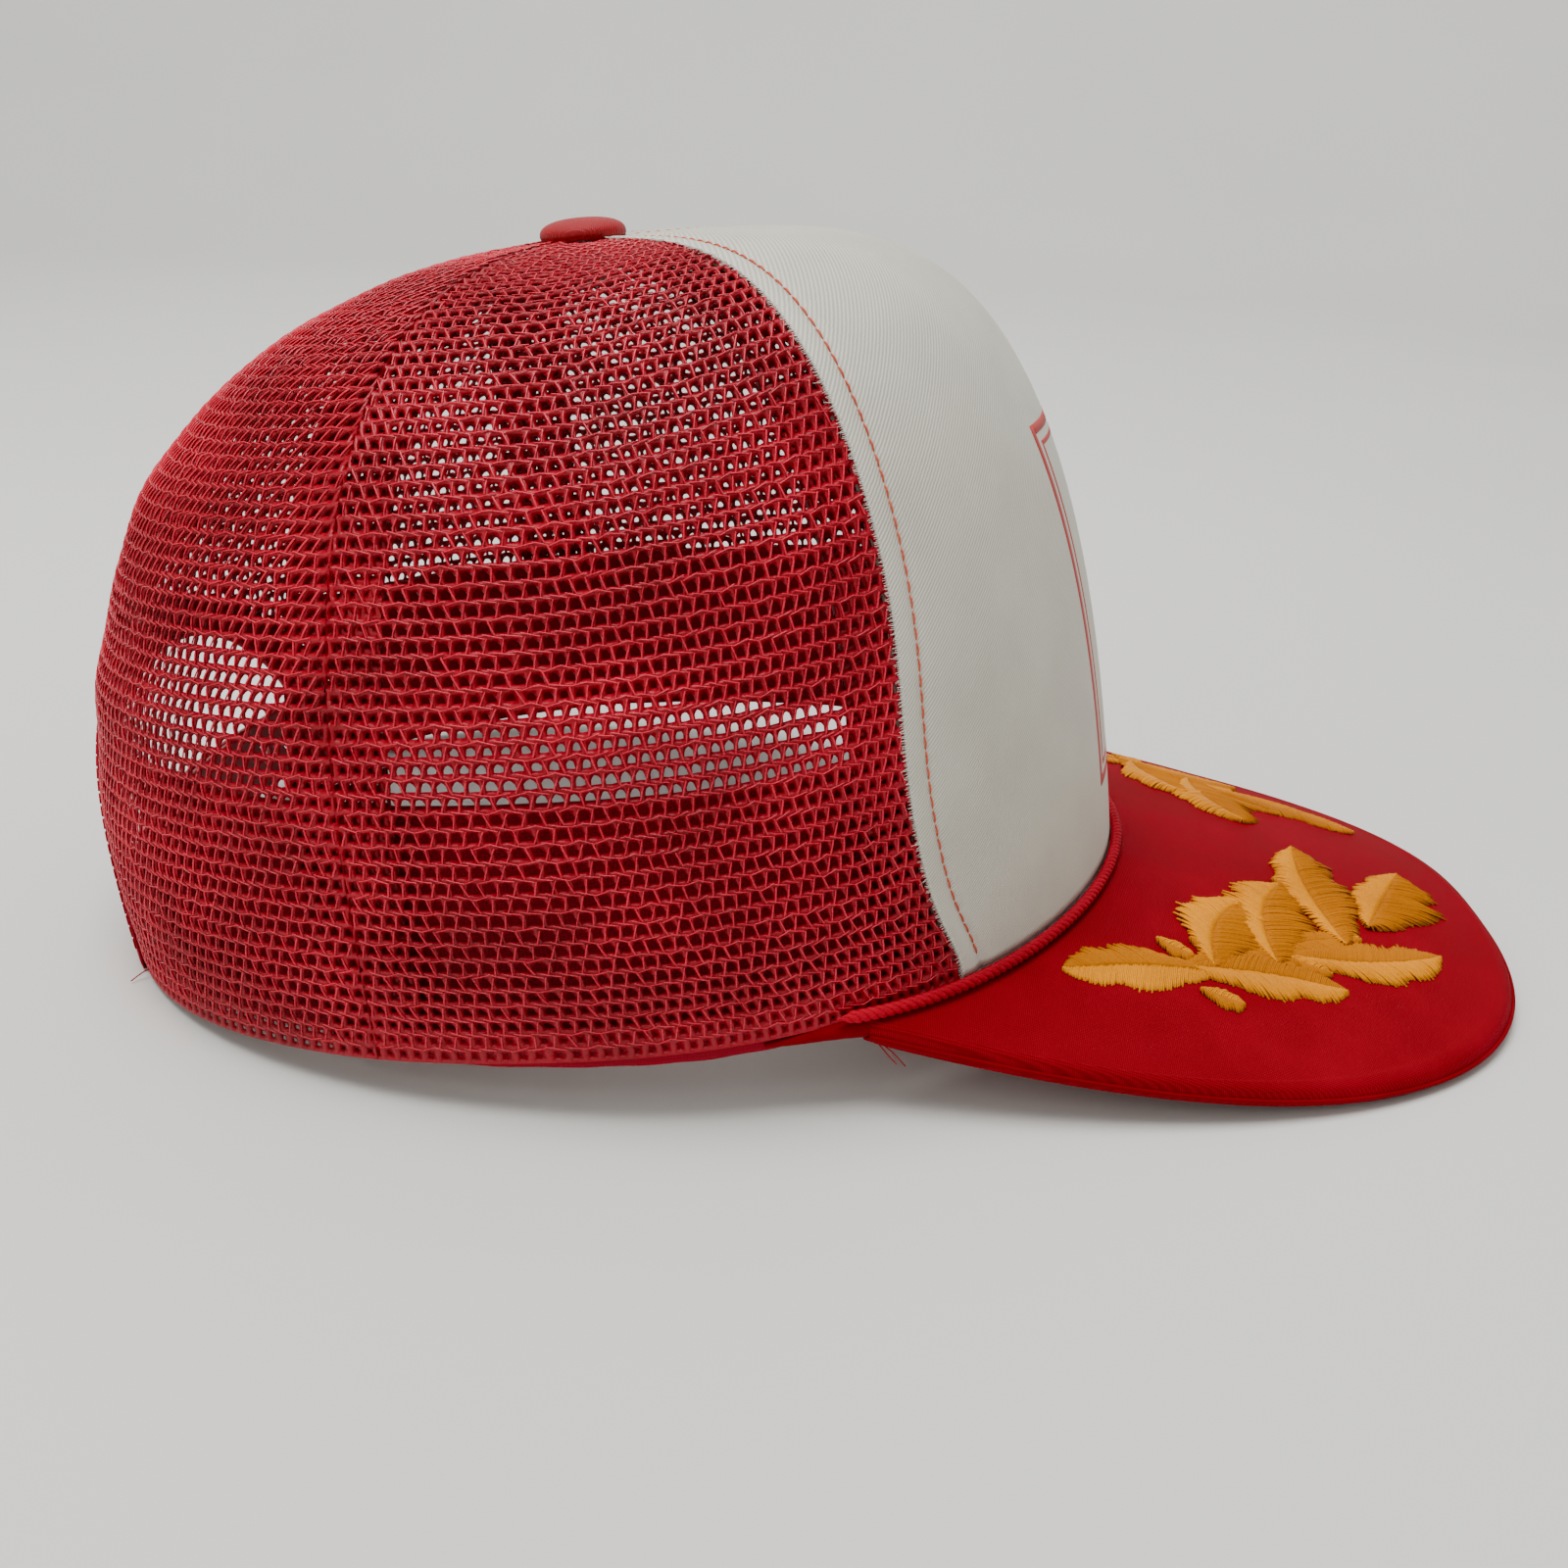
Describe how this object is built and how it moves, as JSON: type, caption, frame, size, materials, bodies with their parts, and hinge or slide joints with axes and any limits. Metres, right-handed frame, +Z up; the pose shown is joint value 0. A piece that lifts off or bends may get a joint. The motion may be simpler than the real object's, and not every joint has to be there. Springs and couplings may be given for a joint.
{
  "type": "trucker mesh cap",
  "caption": "Trucker cap with a pale foam-backed front panel, red net sides and back, curved cloth brim with a cord and embroidery, cloth button and a snap strap at the rear.",
  "frame": {"origin": "middle of the bounding box's base, on the surface the cap stands on", "axes": "+X forward over the brim, +Y to the wearer's left, +Z up"},
  "size_m": [0.2792, 0.178, 0.134],
  "materials": {
    "red_net": "glossy warp-knitted net",
    "red_cloth": "fine matte weave",
    "white_cloth": "fine twill with a soft sheen",
    "foam": "matte open foam",
    "brim_board": "matte sheet",
    "red_plastic": "satin",
    "gold_thread": "satin-stitched rayon",
    "button_metal": "satin"
  },
  "bodies": {
    "crown": {"front_panel_face": "white_cloth", "front_panel_foam": "foam", "side_net_left": "red_net", "side_net_right": "red_net", "back_net_left": "red_net", "back_net_right": "red_net", "front_seam_band_left": "red_net", "front_seam_band_right": "red_net", "side_seam_band_left": "red_net", "side_seam_band_right": "red_net", "centre_back_band": "red_net", "arch_binding": "red_cloth", "sweatband": "red_cloth", "brim_top_cover": "red_cloth", "brim_board": "brim_board", "brim_under_cover": "red_cloth", "brim_rope": "red_cloth", "laurel_left": "gold_thread", "laurel_right": "gold_thread", "button_cover": "red_cloth", "button_shell": "button_metal", "button_back": "button_metal", "hole_strap_tab": "red_plastic", "peg_strap_tab": "red_plastic"},
    "strap_with_holes": {"hole_strap": "red_plastic"},
    "strap_with_pegs": {"peg_strap": "red_plastic"}
  },
  "joints": [
    {"name": "hole_strap_opens", "type": "hinge", "parent": "crown", "child": "strap_with_holes", "pos_m": [-0.12755, 0.043, 0.01077], "axis": [0.1236, 0, -0.9923], "range_deg": [0, 80], "stiffness_Nm_per_rad": 0.02},
    {"name": "peg_strap_opens", "type": "hinge", "parent": "crown", "child": "strap_with_pegs", "pos_m": [-0.12587, -0.043, 0.01098], "axis": [0.1236, 0, -0.9923], "range_deg": [0, 25], "stiffness_Nm_per_rad": 0.02}
  ]
}
